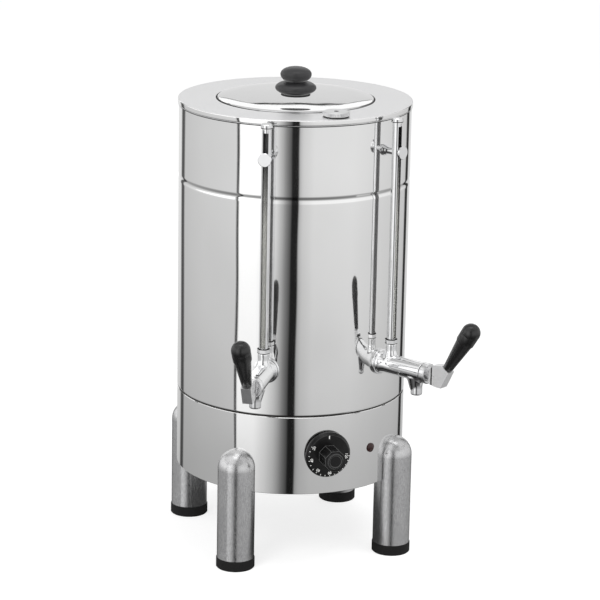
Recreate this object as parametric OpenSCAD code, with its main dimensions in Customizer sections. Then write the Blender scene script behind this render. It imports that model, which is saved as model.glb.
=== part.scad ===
// Bain-marie coffee urn: polished double-wall body on four legs, two lever taps with gauge glasses.
// Millimetres. The floor is z = 0, the body axis is the z axis and the front faces -y.

/* [Body] */
// Outside diameter of the shell and the base
body_dia = 260; // [250:1:280]
// Height of the base's lower edge above the floor
base_clear = 90; // [80:1:100]
// Height of the base from its lower edge to the joint line
base_height = 90; // [86:1:100]
// Height from the joint line to the top deck
shell_height = 332; // [320:1:350]
// Thickness of the steel sheet
sheet = 1; // [0.8:0.1:1.2]
// Distance of the rolled groove below the deck
groove_drop = 88; // [70:1:110]
// Depth of the deck's turned-down rim
rim_depth = 6.5; // [4:0.5:8]
// Width of the dark joint between shell and base
joint_gap = 1.8; // [1.2:0.1:2.4]

/* [Pot and lid] */
// Width of the water jacket between the pot and the body's outside
jacket = 48; // [46:1:52]
// Height of the pot's floor above the joint line
pot_rise = 37; // [32:1:38]
// Overlap of the lid beyond the pot's mouth
lid_lap = 5; // [4.5:0.5:8]
// Depth of the lid's locating skirt
lid_skirt = 10; // [6:1:16]
// Diameter of the lid knob's lower lens
knob_dia = 46; // [42:1:50]
// Diameter of the lid knob's upper ball
ball_dia = 35; // [30:1:38]

/* [Legs] */
// Diameter of each leg
leg_dia = 42; // [38:1:44]
// Distance of a leg's axis outside the body wall
leg_set = 1.5; // [0:0.5:4]
// Height of a leg's domed top above the base's lower edge
leg_cap = 47.5; // [42:0.5:54]
// Angle of the legs from the front and the back
leg_turn = 45; // [40:1:50]
// Diameter of a rubber foot
foot_dia = 43.4; // [42:0.2:47]
// Visible height of a rubber foot
foot_height = 12; // [10:1:16]

/* [Taps] */
// Angle of each tap from the front
tap_turn = 30.5; // [28:0.5:33]
// Height of the tap's axis above the joint line
tap_rise = 53; // [52:1:58]
// Diameter of the tap's barrel
barrel_dia = 22; // [20:0.5:24]
// Diameter of the tap's wall flange
flange_dia = 29; // [28:1:33]
// Reach of the barrel from the wall
barrel_reach = 63; // [60:1:68]
// Distance of the spout's axis behind the barrel's end
spout_back = 9.5; // [9:0.5:11]
// Outside diameter of the spout
spout_dia = 13; // [12:0.5:14]
// Drop of the spout below the tap's axis
spout_drop = 27; // [24:1:34]
// Diameter of the bonnet's ring
bonnet_dia = 23; // [21:0.5:25]
// Length of the bonnet's ring
bonnet_len = 7.5; // [6:0.5:10]
// Width of the lever block
lever_width = 11; // [10:0.5:13]
// Stem lift for each radian of lever travel
cam_rate = 4.5; // [4:0.1:5]
// Lever travel in degrees
lever_swing = 40; // [34:1:42]
// Lean of the handle from the vertical
handle_lean = 32.5; // [29:0.5:36]
// Length of the handle
handle_len = 65.5; // [58:0.5:74]
// Diameter of the handle at its thick end
handle_dia = 21; // [18:0.5:24]

/* [Gauges] */
// Distance of a gauge's axis from the wall
gauge_set = 16; // [15:0.5:18]
// Outside diameter of the slotted guard
guard_dia = 10.4; // [10.2:0.1:11]
// Outside diameter of the gauge glass
glass_dia = 7.4; // [7:0.1:7.6]
// Width of the guard's slot
slot_width = 6; // [5:0.5:6.5]
// Distance of the gauge bracket below the deck
bracket_drop = 39; // [30:1:50]
// Diameter of the gauge screw's head
screw_head = 15; // [13:0.5:17]

/* [Controls] */
// Diameter of the thermostat dial
dial_dia = 52; // [48:1:56]
// Height of the dial's axis above the base's lower edge
dial_rise = 46.5; // [43:0.5:51]
// Height of the dial's grip above its face
grip_height = 21; // [16:1:26]
// Diameter of the pilot lamp
lamp_dia = 10.5; // [9.5:0.5:12]
// Angle of the pilot lamp from the front
lamp_turn = 25.5; // [23:0.5:28]
// Diameter of the filler plug
plug_dia = 30; // [28:1:32]
// Angle of the filler plug from the front
plug_turn = 5; // [0:1:10]
// Distance of the filler plug's axis inside the body wall
plug_set = 20; // [18:0.5:22]
// Bore of the cable gland
cable_bore = 8; // [7:0.5:9]

/* [Fits] */
// Radial clearance of sliding and turning fits
fit = 0.05; // [0.03:0.01:0.08]
// Clearance between pieces that move past each other
gap = 0.3; // [0.25:0.05:0.4]

/* [Hidden] */
$fn = 96;
body_r = body_dia / 2;
joint_z = base_clear + base_height;
deck_z = joint_z + shell_height;
collar_z = joint_z + 6;
floor_z = collar_z + sheet;
pot_r = body_r - jacket;
pot_z = joint_z + pot_rise;
flange_top = deck_z + sheet;
lid_r = pot_r + lid_lap;
lid_z = flange_top + 0.2;
lid_dome = 1.2;
lid_top = lid_z + sheet + lid_dome;
leg_r = leg_dia / 2;
leg_u = body_r + leg_set;
leg_dome_z = base_clear + leg_cap - leg_r;
leg_wall = 3;
leg_angles = [-leg_turn, leg_turn, -180 + leg_turn, 180 - leg_turn];
leg_screw_rises = [12, 30];
cover_r = leg_u - leg_r - 1;
cover_lap = 11;
cover_screw_r = cover_r - cover_lap / 2;
tap_z = joint_z + tap_rise;
barrel_r = barrel_dia / 2;
shank_r = 6;
shank_bore = 4;
left_shank = body_r - pot_r + 9;
right_shank = 12;
chamber_r = 7;
spout_w = barrel_reach - spout_back;
seat_w = spout_w - 10;
spigot_len = 4;
neck_r = 7;
neck_len = 2.5;
face_w = barrel_reach + bonnet_len + neck_len;
stem_r = 3;
pin_w = face_w + 7;
pin_r = 1.3;
cam_base = pin_w - face_w - gap;
tongue = 4;
flat_len = 4;
grip_foot = [15.7, 11.3];
grip_foot_r = 5.5;
stud_r = 3;
stud_len = 28;
glass_z = tap_z + 16;
socket_r = 6.2;
socket_top = tap_z + 24;
neck_top = socket_top + 2.7;
nut_top = socket_top + 5.2;
nut_flat = 12.6;
cap_z = deck_z - 6;
cap_r = 6.5;
guard_wall = 1.1;
bracket_z = deck_z - bracket_drop;
screw_r = 2;
slot_face = gauge_set + sqrt(pow(guard_dia / 2, 2) - pow(slot_width / 2, 2));
dial_z = base_clear + dial_rise;
dial_w = 1.2;
dial_face = dial_w + 6.8;
bush_r = 5;
spindle_r = 3;
lamp_z = base_clear + 44.5;
gland_z = base_clear + 26;
gland_r = cable_bore / 2 + 4;
plug_u = body_r - plug_set;
filler_r = 11;
seal = 1;
element_r = 62;
element_tube = 4.2;
element_z = floor_z + 9;
element_open = 30;
bulb_u = body_r - 28;
bulb_turn = -14;

// Turns its children from the front towards +x
module turn(a) rotate([0, 0, a]) children();

// Stands its children on the body wall: their z axis points straight out, w millimetres off the wall
module outward(w) translate([0, -(body_r + w), 0]) rotate([90, 0, 0]) children();

// Draws a side view (distance out, height) as a plate of a given width
module side(width) rotate([90, 0, -90]) linear_extrude(height = width, center = true) children();

// A pipe standing on z = z0
module pipe(r_out, r_in, z0, z1) difference() {
    translate([0, 0, z0]) cylinder(h = z1 - z0, r = r_out);
    translate([0, 0, z0 - 1]) cylinder(h = z1 - z0 + 2, r = r_in);
}

// A hexagon nut by its flats
module hex(flat, height) cylinder(h = height, r = flat / sqrt(3), $fn = 6);

// The solid inside the body wall, used to fit pieces to it
module core(r, z0, z1) translate([0, 0, z0]) cylinder(h = z1 - z0, r = r, $fn = 360);

module outer_shell() color("silver") difference() {
    rotate_extrude() polygon(concat(shell_side(body_r), reversed(shell_side(body_r - sheet))));
    for (a = [-tap_turn, tap_turn]) turn(a) translate([0, 0, tap_z]) outward(-10)
        cylinder(h = 20, r = shank_r + fit);
}

// One face of the shell, from its lower edge to the deck, with the rolled groove
function shell_side(r) = let (z = deck_z - groove_drop) [
    [r, joint_z + joint_gap / 2], [r, z - 4.4], [r - 0.3, z - 3.2], [r - 1.2, z - 1], [r - 1.5, z + 0.2],
    [r - 1.3, z + 1.2], [r - 0.4, z + 3.2], [r, z + 4.4], [r, deck_z - sheet]];

function reversed(list) = [for (i = [len(list) - 1 : -1 : 0]) list[i]];

module top_deck() color("gainsboro") difference() {
    union() {
        pipe(body_r + sheet - 0.4, pot_r + sheet + fit, deck_z - sheet, deck_z);
        rotate_extrude() polygon([[body_r + fit, deck_z - rim_depth], [body_r + fit, deck_z - 0.2],
            [body_r + 0.5, deck_z], [body_r + sheet - 0.4, deck_z], [body_r + sheet, deck_z - 0.4],
            [body_r + sheet, deck_z - rim_depth + 0.3], [body_r + sheet - 0.3, deck_z - rim_depth]]);
    }
    turn(plug_turn) translate([0, -plug_u, deck_z - 5]) cylinder(h = 10, r = filler_r);
}

module inner_pot() color("lightgray") difference() {
    union() {
        core(pot_r + sheet, pot_z - sheet + 6, deck_z + sheet);
        translate([0, 0, pot_z - sheet]) cylinder(h = 6, r1 = pot_r + sheet - 6, r2 = pot_r + sheet);
        core(pot_r + lid_lap - 1.2, deck_z, flange_top);
    }
    core(pot_r, pot_z + 6, flange_top + 1);
    translate([0, 0, pot_z]) cylinder(h = 6, r1 = pot_r - 6, r2 = pot_r);
    turn(-tap_turn) translate([0, -pot_r - 10, tap_z]) rotate([-90, 0, 0])
        cylinder(h = 20, r = shank_r + fit);
}

module tank_floor() color("lightgray") difference() {
    union() {
        core(body_r - sheet - fit, collar_z, floor_z);
        pipe(body_r - sheet - fit, body_r - 2 * sheet - fit, collar_z, floor_z + 8);
    }
    for (s = [-1, 1]) element_end(s) translate([0, 0, collar_z - 1])
        cylinder(h = sheet + 2, r = 5 + fit);
    turn(bulb_turn) translate([0, -bulb_u, collar_z - 1]) cylinder(h = sheet + 2, r = 4 + fit);
}

// The two ends of the heating element's ring
module element_end(s) turn(180 + s * element_open) translate([0, -element_r, 0]) children();

module base_skirt() color("silver") difference() {
    rotate_extrude() polygon([[cover_r - cover_lap, base_clear], [body_r - 0.5, base_clear],
        [body_r, base_clear + 0.5], [body_r, joint_z - joint_gap / 2 - 0.4],
        [body_r - 0.4, joint_z - joint_gap / 2], [body_r - sheet - fit, joint_z - joint_gap / 2],
        [body_r - sheet - fit, collar_z], [body_r - 2 * sheet - fit, collar_z],
        [body_r - 2 * sheet - fit, joint_z - joint_gap / 2 - 1.5],
        [body_r - sheet, joint_z - joint_gap / 2 - 2.5], [body_r - sheet, base_clear + sheet],
        [cover_r - cover_lap, base_clear + sheet]]);
    translate([0, 0, dial_z]) outward(-5) cylinder(h = 10, r = bush_r + fit);
    turn(lamp_turn) translate([0, 0, lamp_z]) outward(-5) cylinder(h = 10, r = lamp_dia / 2 - 1 + fit);
    turn(180) translate([0, 0, gland_z]) outward(-5) cylinder(h = 10, r = gland_r + fit);
    for (a = leg_angles, z = leg_screw_rises) turn(a) translate([0, 0, base_clear + z]) outward(-5)
        cylinder(h = 10, r = 3 + fit);
    for (a = [0 : 90 : 270]) turn(a) translate([0, -cover_screw_r, base_clear - 1])
        cylinder(h = 5, r = 2 + fit);
}

module base_cover() color("silver") difference() {
    core(cover_r, base_clear - sheet, base_clear);
    for (a = [0 : 90 : 270]) turn(a) translate([0, -cover_screw_r, base_clear - 5])
        cylinder(h = 10, r = 2 + fit);
    for (y = [-40 : 16 : 40]) translate([-25, y - 2, base_clear - 5]) cube([50, 4, 10]);
}

module base_cover_screws() color("silver") for (a = [0 : 90 : 270])
    turn(a) translate([0, -cover_screw_r, base_clear - sheet]) difference() {
        union() {
            translate([0, 0, -2]) cylinder(h = 2, r = 3.6);
            cylinder(h = 8, r = 2);
        }
        translate([-3, -0.5, -3]) cube([6, 1, 2]);
    }

module heating_element() color("dimgray") {
    translate([0, 0, element_z]) rotate([0, 0, 90 + element_open])
        rotate_extrude(angle = 360 - 2 * element_open) translate([element_r, 0]) circle(r = element_tube);
    for (s = [-1, 1]) element_end(s) {
        translate([0, 0, floor_z]) cylinder(h = element_z - floor_z + 5.6, r = 5.6);
        translate([0, 0, floor_z]) cylinder(h = 2.5, r = 8);
        translate([0, 0, collar_z - 9]) cylinder(h = 10 + sheet, r = 5);
        translate([0, 0, collar_z - 20]) cylinder(h = 12, r = 1.6);
    }
}

module element_nuts() color("goldenrod") for (s = [-1, 1]) element_end(s)
    translate([0, 0, collar_z - 5]) difference() {
        hex(16, 5);
        translate([0, 0, -1]) cylinder(h = 7, r = 5 + fit);
    }

module thermostat_body() color("ivory") translate([0, 0, dial_z]) difference() {
    union() {
        translate([-19, -(body_r - 2 * sheet - 1), -17]) cube([38, 26, 34]);
        outward(-2 * sheet - 2) cylinder(h = 2 * sheet + 4.6, r = bush_r);
        outward(-2 * sheet - 2) cylinder(h = sheet + 1.5, r = 9);
        translate([-19 + 4, -(body_r - 2 * sheet - 27), 6]) cube([8, 7, 8]);
        translate([11 - 4, -(body_r - 2 * sheet - 27), 6]) cube([8, 7, 8]);
    }
    outward(-20) cylinder(h = 30, r = spindle_r + fit);
}

module thermostat_nut() color("silver") translate([0, 0, dial_z]) difference() {
    outward(-0.2) hex(14, 2.6);
    outward(-5) cylinder(h = 10, r = bush_r + fit);
    core(body_r, -20, 20);
}

module thermostat_bulb() color("peru") {
    bulb = [sin(bulb_turn) * bulb_u, -cos(bulb_turn) * bulb_u, dial_z + 25];
    inlet = [-8, -(body_r - 2 * sheet - 12), dial_z + 25];
    translate([bulb[0], bulb[1], 0]) {
        translate([0, 0, floor_z + 2]) cylinder(h = 56, r = 3);
        translate([0, 0, floor_z + 58]) cylinder(h = 2, r1 = 3, r2 = 1.4);
        translate([0, 0, floor_z]) cylinder(h = 3, r = 7);
        translate([0, 0, collar_z - 6]) cylinder(h = 7 + sheet, r = 4);
    }
    run(bulb, [bulb[0], bulb[1], collar_z - 5]);
    translate(bulb) sphere(r = 1.7);
    run(bulb, inlet);
    translate(inlet) sphere(r = 1.7);
    run([inlet[0], inlet[1], dial_z + 17], inlet);
}

// A straight length of capillary tube between two points
module run(a, b) {
    d = b - a;
    translate(a) rotate([0, acos(d[2] / norm(d)), atan2(d[1], d[0])]) cylinder(h = norm(d), r = 1.2);
}

module lamp_lens() color("darkred") turn(lamp_turn) translate([0, 0, lamp_z]) {
    outward(-8) cylinder(h = 9, r = lamp_dia / 2 - 1);
    intersection() {
        outward(2.2 - lamp_dia) sphere(r = lamp_dia);
        difference() {
            outward(-1) cylinder(h = 5, r = lamp_dia / 2);
            core(body_r, -10, 10);
        }
    }
}

module lamp_nut() color("silver") turn(lamp_turn) translate([0, 0, lamp_z]) intersection() {
    difference() {
        outward(-sheet - 3) cylinder(h = 4, r = lamp_dia / 2 + 2.5);
        outward(-sheet - 5) cylinder(h = 10, r = lamp_dia / 2 - 1 + fit);
    }
    core(body_r - sheet, -15, 15);
}

module cable_gland() color("dimgray") turn(180) translate([0, 0, gland_z]) difference() {
    union() {
        outward(-14) cylinder(h = 24, r = gland_r);
        difference() {
            outward(-1) hex(gland_r * 2 + 6, 6);
            core(body_r, -20, 20);
        }
        outward(5) cylinder(h = 11, r1 = gland_r + 1.6, r2 = gland_r - 1);
    }
    outward(-20) cylinder(h = 45, r = cable_bore / 2);
}

module gland_nut() color("dimgray") turn(180) translate([0, 0, gland_z]) intersection() {
    difference() {
        outward(-sheet - 5) hex(gland_r * 2 + 6, 6);
        outward(-20) cylinder(h = 30, r = gland_r + fit);
    }
    core(body_r - sheet, -20, 20);
}

// A cast leg: hollow below, notched to the body above
module leg(a) color("darkgray") turn(a) difference() {
    translate([0, -leg_u, 0]) union() {
        translate([0, 0, foot_height]) cylinder(h = leg_dome_z - foot_height, r = leg_r);
        translate([0, 0, leg_dome_z]) sphere(r = leg_r);
    }
    core(body_r + fit, base_clear, base_clear + 200);
    translate([0, -leg_u, foot_height - 1])
        cylinder(h = base_clear - 5 - foot_height, r = leg_r - leg_wall);
    for (z = leg_screw_rises) translate([0, 0, base_clear + z]) outward(-1)
        cylinder(h = 11.5, r = 3 + fit);
}

module leg_front_left() leg(leg_angles[0]);
module leg_front_right() leg(leg_angles[1]);
module leg_rear_left() leg(leg_angles[2]);
module leg_rear_right() leg(leg_angles[3]);

// A rubber foot plugged into its leg
module foot(a) color("black") turn(a) translate([0, -leg_u, 0]) difference() {
    union() {
        cylinder(h = 1, r1 = foot_dia / 2 - 1, r2 = foot_dia / 2);
        translate([0, 0, 1]) cylinder(h = foot_height - 2, r = foot_dia / 2);
        translate([0, 0, foot_height - 1]) cylinder(h = 1, r1 = foot_dia / 2, r2 = foot_dia / 2 - 1);
        translate([0, 0, foot_height - 1]) cylinder(h = 16, r = leg_r - leg_wall - fit);
    }
    translate([0, 0, 4]) cylinder(h = 30, r = leg_r - leg_wall - 4);
}

module foot_front_left() foot(leg_angles[0]);
module foot_front_right() foot(leg_angles[1]);
module foot_rear_left() foot(leg_angles[2]);
module foot_rear_right() foot(leg_angles[3]);

module leg_screws() color("silver") for (a = leg_angles, z = leg_screw_rises)
    turn(a) translate([0, 0, base_clear + z]) difference() {
        union() {
            outward(-sheet - 4.1) cylinder(h = 4, r = 5);
            outward(-sheet - 1) cylinder(h = 10 + sheet, r = 3);
        }
        outward(-sheet - 5.1) hex(4, 3.5);
    }

// Gauge glass standing in the tap's socket
module gauge_glass(a) color("lightblue") turn(a) translate([0, -(body_r + gauge_set), 0])
    pipe(glass_dia / 2, glass_dia / 2 - 1.2, glass_z, bracket_z - screw_r - 3);

module left_gauge_glass() gauge_glass(-tap_turn);
module right_gauge_glass() gauge_glass(tap_turn);

// Slotted guard tube around the glass
module gauge_guard(a) color("silver") turn(a) difference() {
    translate([0, -(body_r + gauge_set), 0]) difference() {
        pipe(guard_dia / 2, guard_dia / 2 - guard_wall, neck_top, cap_z);
        translate([-slot_width / 2, -guard_dia, nut_top + 1])
            cube([slot_width, guard_dia, cap_z - nut_top - 2.5]);
    }
    translate([0, 0, bracket_z]) outward(0) cylinder(h = gauge_set, r = screw_r + fit);
}

module left_gauge_guard() gauge_guard(-tap_turn);
module right_gauge_guard() gauge_guard(tap_turn);

// Cap plugged into the guard's upper end
module gauge_cap(a) color("silver") turn(a) translate([0, -(body_r + gauge_set), cap_z]) {
    translate([0, 0, -5]) cylinder(h = 6, r = guard_dia / 2 - guard_wall - fit);
    cylinder(h = 3.7, r = cap_r);
    translate([0, 0, 3.7]) cylinder(h = 0.8, r1 = cap_r, r2 = cap_r - 0.8);
}

module left_gauge_cap() gauge_cap(-tap_turn);
module right_gauge_cap() gauge_cap(tap_turn);

module gauge_nuts() color("silver") for (a = [-tap_turn, tap_turn])
    turn(a) translate([0, -(body_r + gauge_set), 0]) difference() {
        intersection() {
            translate([0, 0, socket_top]) hex(nut_flat, nut_top - socket_top);
            translate([0, 0, socket_top]) cylinder(h = nut_top - socket_top, r = nut_flat / 2 + 0.6);
        }
        translate([0, 0, socket_top - 1])
            cylinder(h = neck_top - socket_top + 1, r = socket_r - 1.3 + fit);
        translate([0, 0, neck_top]) cylinder(h = 10, r = guard_dia / 2 + fit);
    }

// Stand-off between the wall and the guard
module gauge_bracket(a) color("silver") turn(a) translate([0, 0, bracket_z]) difference() {
    union() {
        outward(-1) cylinder(h = 3, r = 6.5);
        outward(1) cylinder(h = 4, r = 5.5);
        outward(1) cylinder(h = gauge_set - 1, r = 4);
    }
    core(body_r, -20, 20);
    translate([0, -(body_r + gauge_set), -20]) cylinder(h = 40, r = guard_dia / 2);
    outward(3) cylinder(h = 30, r = screw_r + fit);
}

module left_gauge_bracket() gauge_bracket(-tap_turn);
module right_gauge_bracket() gauge_bracket(tap_turn);

module gauge_screws() color("silver") for (a = [-tap_turn, tap_turn])
    turn(a) translate([0, 0, bracket_z]) {
        outward(3.5) cylinder(h = slot_face, r = screw_r);
        outward(slot_face) cylinder(h = 3.6, r1 = screw_head / 2 - 3.4, r2 = screw_head / 2);
        outward(slot_face + 3.6) cylinder(h = 1.2, r = screw_head / 2);
        outward(slot_face + 4.8) cylinder(h = 0.5, r1 = screw_head / 2, r2 = screw_head / 2 - 0.5);
    }

// A quarter hollow from radius r + d at height 0 to radius r at height h
function flare(r, d, h, z, n) = [for (i = [0 : n]) let (t = 90 * i / n)
    [r + d * (1 - sin(t)), z + h * (1 - cos(t))]];

// Tap casting: wall flange, barrel, spout, gauge socket and a threaded shank
module tap_body(a, shank) color("silver") turn(a) translate([0, 0, tap_z]) difference() {
    union() {
        difference() {
            union() {
                outward(-2) cylinder(h = 4.5, r = flange_dia / 2);
                outward(2.5) cylinder(h = 0.5, r1 = flange_dia / 2, r2 = flange_dia / 2 - 0.5);
                outward(-2) rotate_extrude() polygon(concat([[0, 0]],
                    flare(barrel_r, flange_dia / 2 - 1.5 - barrel_r, 10, 5, 10), [[0, 15]]));
                outward(-2) cylinder(h = barrel_reach + 2, r = barrel_r);
            }
            core(body_r, -50, 50);
        }
        outward(-shank) cylinder(h = shank + 1, r = shank_r);
        translate([0, -(body_r + gauge_set), 0]) {
            cylinder(h = socket_top - tap_z, r = socket_r);
            rotate_extrude() polygon(concat([[0, barrel_r - 3]],
                flare(socket_r, 2.6, 8, barrel_r - 3, 8), [[0, barrel_r + 5]]));
            cylinder(h = neck_top - tap_z, r = socket_r - 1.3);
        }
        translate([0, -(body_r + spout_w), 0]) mirror([0, 0, 1]) {
            cylinder(h = spout_drop - 0.8, r = spout_dia / 2);
            translate([0, 0, spout_drop - 0.8])
                cylinder(h = 0.8, r1 = spout_dia / 2, r2 = spout_dia / 2 - 0.8);
            intersection() {
                rotate_extrude() polygon(concat([[0, barrel_r - 2.5]],
                    flare(spout_dia / 2, 5, 10, barrel_r - 2.5, 8), [[0, barrel_r + 7.5]]));
                translate([-spout_dia / 2 + 0.6, 1 - spout_back, 0]) cube([spout_dia - 1.2, 30, 40]);
            }
        }
    }
    outward(-shank - 1) cylinder(h = shank + 1 + seat_w + 1, r = shank_bore);
    outward(seat_w) cylinder(h = barrel_reach, r = chamber_r);
    translate([0, -(body_r + spout_w), -spout_drop - 1])
        cylinder(h = spout_drop + 1, r = spout_dia / 2 - 2.2);
    translate([0, -(body_r + gauge_set), 0]) cylinder(h = 30, r = 2);
    translate([0, -(body_r + gauge_set), glass_z - tap_z]) cylinder(h = 30, r = glass_dia / 2 + fit);
}

module left_tap_body() tap_body(-tap_turn, left_shank);
module right_tap_body() tap_body(tap_turn, right_shank);

// The left tap draws from the pot, the right one from the jacket
module tap_locknuts() color("silver") for (v = [[-tap_turn, pot_r], [tap_turn, body_r - sheet]])
    turn(v[0]) translate([0, 0, tap_z]) difference() {
        outward(v[1] - body_r - 7.5) hex(18, 5);
        outward(v[1] - body_r - 12) cylinder(h = 20, r = shank_r + fit);
    }

module tap_gaskets() color("white") for (v = [[-tap_turn, pot_r], [tap_turn, body_r - sheet]])
    turn(v[0]) translate([0, 0, tap_z]) intersection() {
        difference() {
            outward(v[1] - body_r - 2.5) cylinder(h = 4, r = 9.5);
            outward(v[1] - body_r - 12) cylinder(h = 20, r = shank_r + fit);
        }
        core(v[1] - fit, -20, 20);
    }

// Bonnet closing the barrel and guiding the stem
module tap_bonnet(a) color("silver") turn(a) translate([0, 0, tap_z]) difference() {
    union() {
        outward(barrel_reach - spigot_len) cylinder(h = spigot_len + 1, r = chamber_r - fit);
        outward(barrel_reach) cylinder(h = 2, r = bonnet_dia / 2 - 1.8);
        outward(barrel_reach + 0.9) cylinder(h = bonnet_len - 1.9, r = bonnet_dia / 2);
        outward(barrel_reach + bonnet_len - 1)
            cylinder(h = 1, r1 = bonnet_dia / 2, r2 = bonnet_dia / 2 - 1);
        outward(barrel_reach + bonnet_len - 1) cylinder(h = neck_len + 1, r = neck_r);
    }
    outward(barrel_reach - 20) cylinder(h = 50, r = stem_r + fit);
}

module left_tap_bonnet() tap_bonnet(-tap_turn);
module right_tap_bonnet() tap_bonnet(tap_turn);

// Stem with a button in the seat cup and a flat tongue for the lever pin
module tap_stem(a) color("silver") turn(a) translate([0, 0, tap_z]) difference() {
    union() {
        outward(seat_w + 2.5) cylinder(h = 2.5, r = 4);
        outward(seat_w + 2.5) cylinder(h = face_w - flat_len + 0.5 - seat_w - 2.5, r = stem_r);
        intersection() {
            outward(face_w - flat_len) cylinder(h = pin_w - face_w + flat_len, r = stem_r);
            translate([-tongue / 2, -(body_r + pin_w), -10]) cube([tongue, 20, 20]);
        }
        translate([-tongue / 2, -(body_r + pin_w), 0]) rotate([0, 90, 0])
            cylinder(h = tongue, r = stem_r);
    }
    translate([-10, -(body_r + pin_w), 0]) rotate([0, 90, 0]) cylinder(h = 20, r = pin_r + fit);
}

module left_tap_stem() tap_stem(-tap_turn);
module right_tap_stem() tap_stem(tap_turn);

// Silicone cup that closes the seat
module seat_cup(a) color("white") turn(a) translate([0, 0, tap_z]) difference() {
    union() {
        outward(seat_w) cylinder(h = 2, r1 = 5.2, r2 = 6);
        outward(seat_w + 2) cylinder(h = 4, r = 6);
        outward(seat_w + 6) cylinder(h = 2, r1 = 6, r2 = 4.6);
    }
    outward(seat_w + 2.5) cylinder(h = 2.5, r = 4);
    outward(seat_w + 2.5) cylinder(h = 20, r = stem_r);
}

module left_seat_cup() seat_cup(-tap_turn);
module right_seat_cup() seat_cup(tap_turn);

// The cam: each degree of travel moves its support face out by the same amount
function cam_at(t) = let (h = cam_base + cam_rate * t * PI / 180)
    [-h * cos(t) + cam_rate * sin(t), -h * sin(t) - cam_rate * cos(t)];

// Moves its children to the lever pin
module at_pin() translate([0, -(body_r + pin_w), tap_z]) children();

// Moves its children to the handle's foot, along the handle
module at_grip() at_pin() translate([0, -grip_foot[0], grip_foot[1]]) rotate([handle_lean, 0, 0])
    children();

// Lever block: slotted cam cheeks, a shoulder for the handle and its stud
module tap_lever(a) color("silver") turn(a) {
    difference() {
        at_pin() side(lever_width) polygon(concat([[-cam_base, 3], [-1.5, 12.3], [7, 13.8]],
            [[grip_foot[0] - (grip_foot_r + 0.4) * cos(handle_lean),
                grip_foot[1] + (grip_foot_r + 0.4) * sin(handle_lean)],
            [grip_foot[0] + (grip_foot_r + 0.4) * cos(handle_lean),
                grip_foot[1] - (grip_foot_r + 0.4) * sin(handle_lean)],
            [11, -11.2], [4.5, -11.2]], [for (t = [lever_swing : -lever_swing / 10 : 0]) cam_at(t)]));
        at_pin() side(tongue + 2 * gap)
            polygon([[0, stem_r + 0.7], [-30, stem_r + 0.7], [-30, -30], [1, -30], [1, 0]]);
        at_pin() translate([-tongue / 2 - gap, 0, 0]) rotate([0, 90, 0])
            cylinder(h = tongue + 2 * gap, r = stem_r + 0.7);
        at_pin() translate([-20, 0, 0]) rotate([0, 90, 0]) cylinder(h = 40, r = pin_r);
    }
    at_grip() translate([0, 0, -2]) cylinder(h = stud_len + 2, r = stud_r);
}

module left_tap_lever() tap_lever(-tap_turn);
module right_tap_lever() tap_lever(tap_turn);

// Tapered handle with a domed end
module tap_handle(a) color("black") turn(a) at_grip() difference() {
    top_r = handle_dia / 2;
    cone_len = handle_len - top_r;
    union() {
        cylinder(h = cone_len - 4, r1 = grip_foot_r, r2 = top_r - 0.25);
        translate([0, 0, cone_len - 4]) cylinder(h = 4, r1 = top_r - 0.25, r2 = top_r);
        translate([0, 0, cone_len]) sphere(r = top_r);
    }
    translate([0, 0, -1]) cylinder(h = stud_len + 1.5, r = stud_r + fit);
}

module left_tap_handle() tap_handle(-tap_turn);
module right_tap_handle() tap_handle(tap_turn);

module lever_pin(a) color("silver") turn(a) at_pin()
    translate([-lever_width / 2, 0, 0]) rotate([0, 90, 0]) cylinder(h = lever_width, r = pin_r);

module left_lever_pin() lever_pin(-tap_turn);
module right_lever_pin() lever_pin(tap_turn);

// Sleeve that carries the left tap's shank through the water jacket
module draw_pipe() color("lightgray") turn(-tap_turn) translate([0, 0, tap_z]) intersection() {
    difference() {
        translate([0, -body_r, 0]) rotate([-90, 0, 0]) pipe(9, shank_r + 1, 0, body_r - pot_r + 10);
        core(pot_r + sheet + fit, -20, 20);
    }
    core(body_r - sheet - fit, -20, 20);
}

module lid() color("gainsboro") difference() {
    rotate_extrude() polygon([[0, lid_top], [15, lid_top], [pot_r - 40, lid_top - 0.3],
        [pot_r - 8, lid_z + sheet + 0.3],
        [lid_r - 2, lid_z + sheet], [lid_r - 0.7, lid_z + sheet - 0.4], [lid_r, lid_z + sheet - 1.2],
        [lid_r, lid_z - 0.2], [lid_r - 0.4, deck_z + gap], [lid_r - 0.8, deck_z + gap],
        [lid_r - 0.8, lid_z - 0.2], [lid_r - 1, lid_z], [pot_r - 0.6, lid_z],
        [pot_r - 0.6, lid_z - lid_skirt], [pot_r - 1.6, lid_z - lid_skirt], [pot_r - 1.6, lid_z],
        [pot_r - 8, lid_z + 0.3], [pot_r - 40, lid_top - sheet - 0.3], [15, lid_top - sheet],
        [0, lid_top - sheet]]);
    translate([0, 0, lid_top - 10]) cylinder(h = 20, r = 3 + fit);
}

// Points of half an ellipse, from its lower pole to its upper pole
function lens(r, h, z, n) = [for (i = [0 : n]) let (t = -90 + 180 * i / n)
    [max(0, r * cos(t)), z + h * sin(t)]];

module lid_knob() color("black") difference() {
    union() {
        translate([0, 0, lid_top]) cylinder(h = 4, r1 = 14, r2 = 13);
        rotate_extrude() polygon(lens(knob_dia / 2, 8.5, lid_top + 8.4, 24));
        translate([0, 0, lid_top + 14]) cylinder(h = 6, r = 11.5);
        rotate_extrude() polygon(lens(ball_dia / 2, 8.2, lid_top + 24.6, 24));
    }
    translate([0, 0, lid_top - 1]) cylinder(h = 20, r = 3);
}

module lid_knob_screw() color("silver") {
    translate([0, 0, lid_top - sheet - 3]) cylinder(h = 3, r = 6);
    translate([0, 0, lid_top - sheet - 1]) cylinder(h = sheet + 19, r = 3);
}

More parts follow.
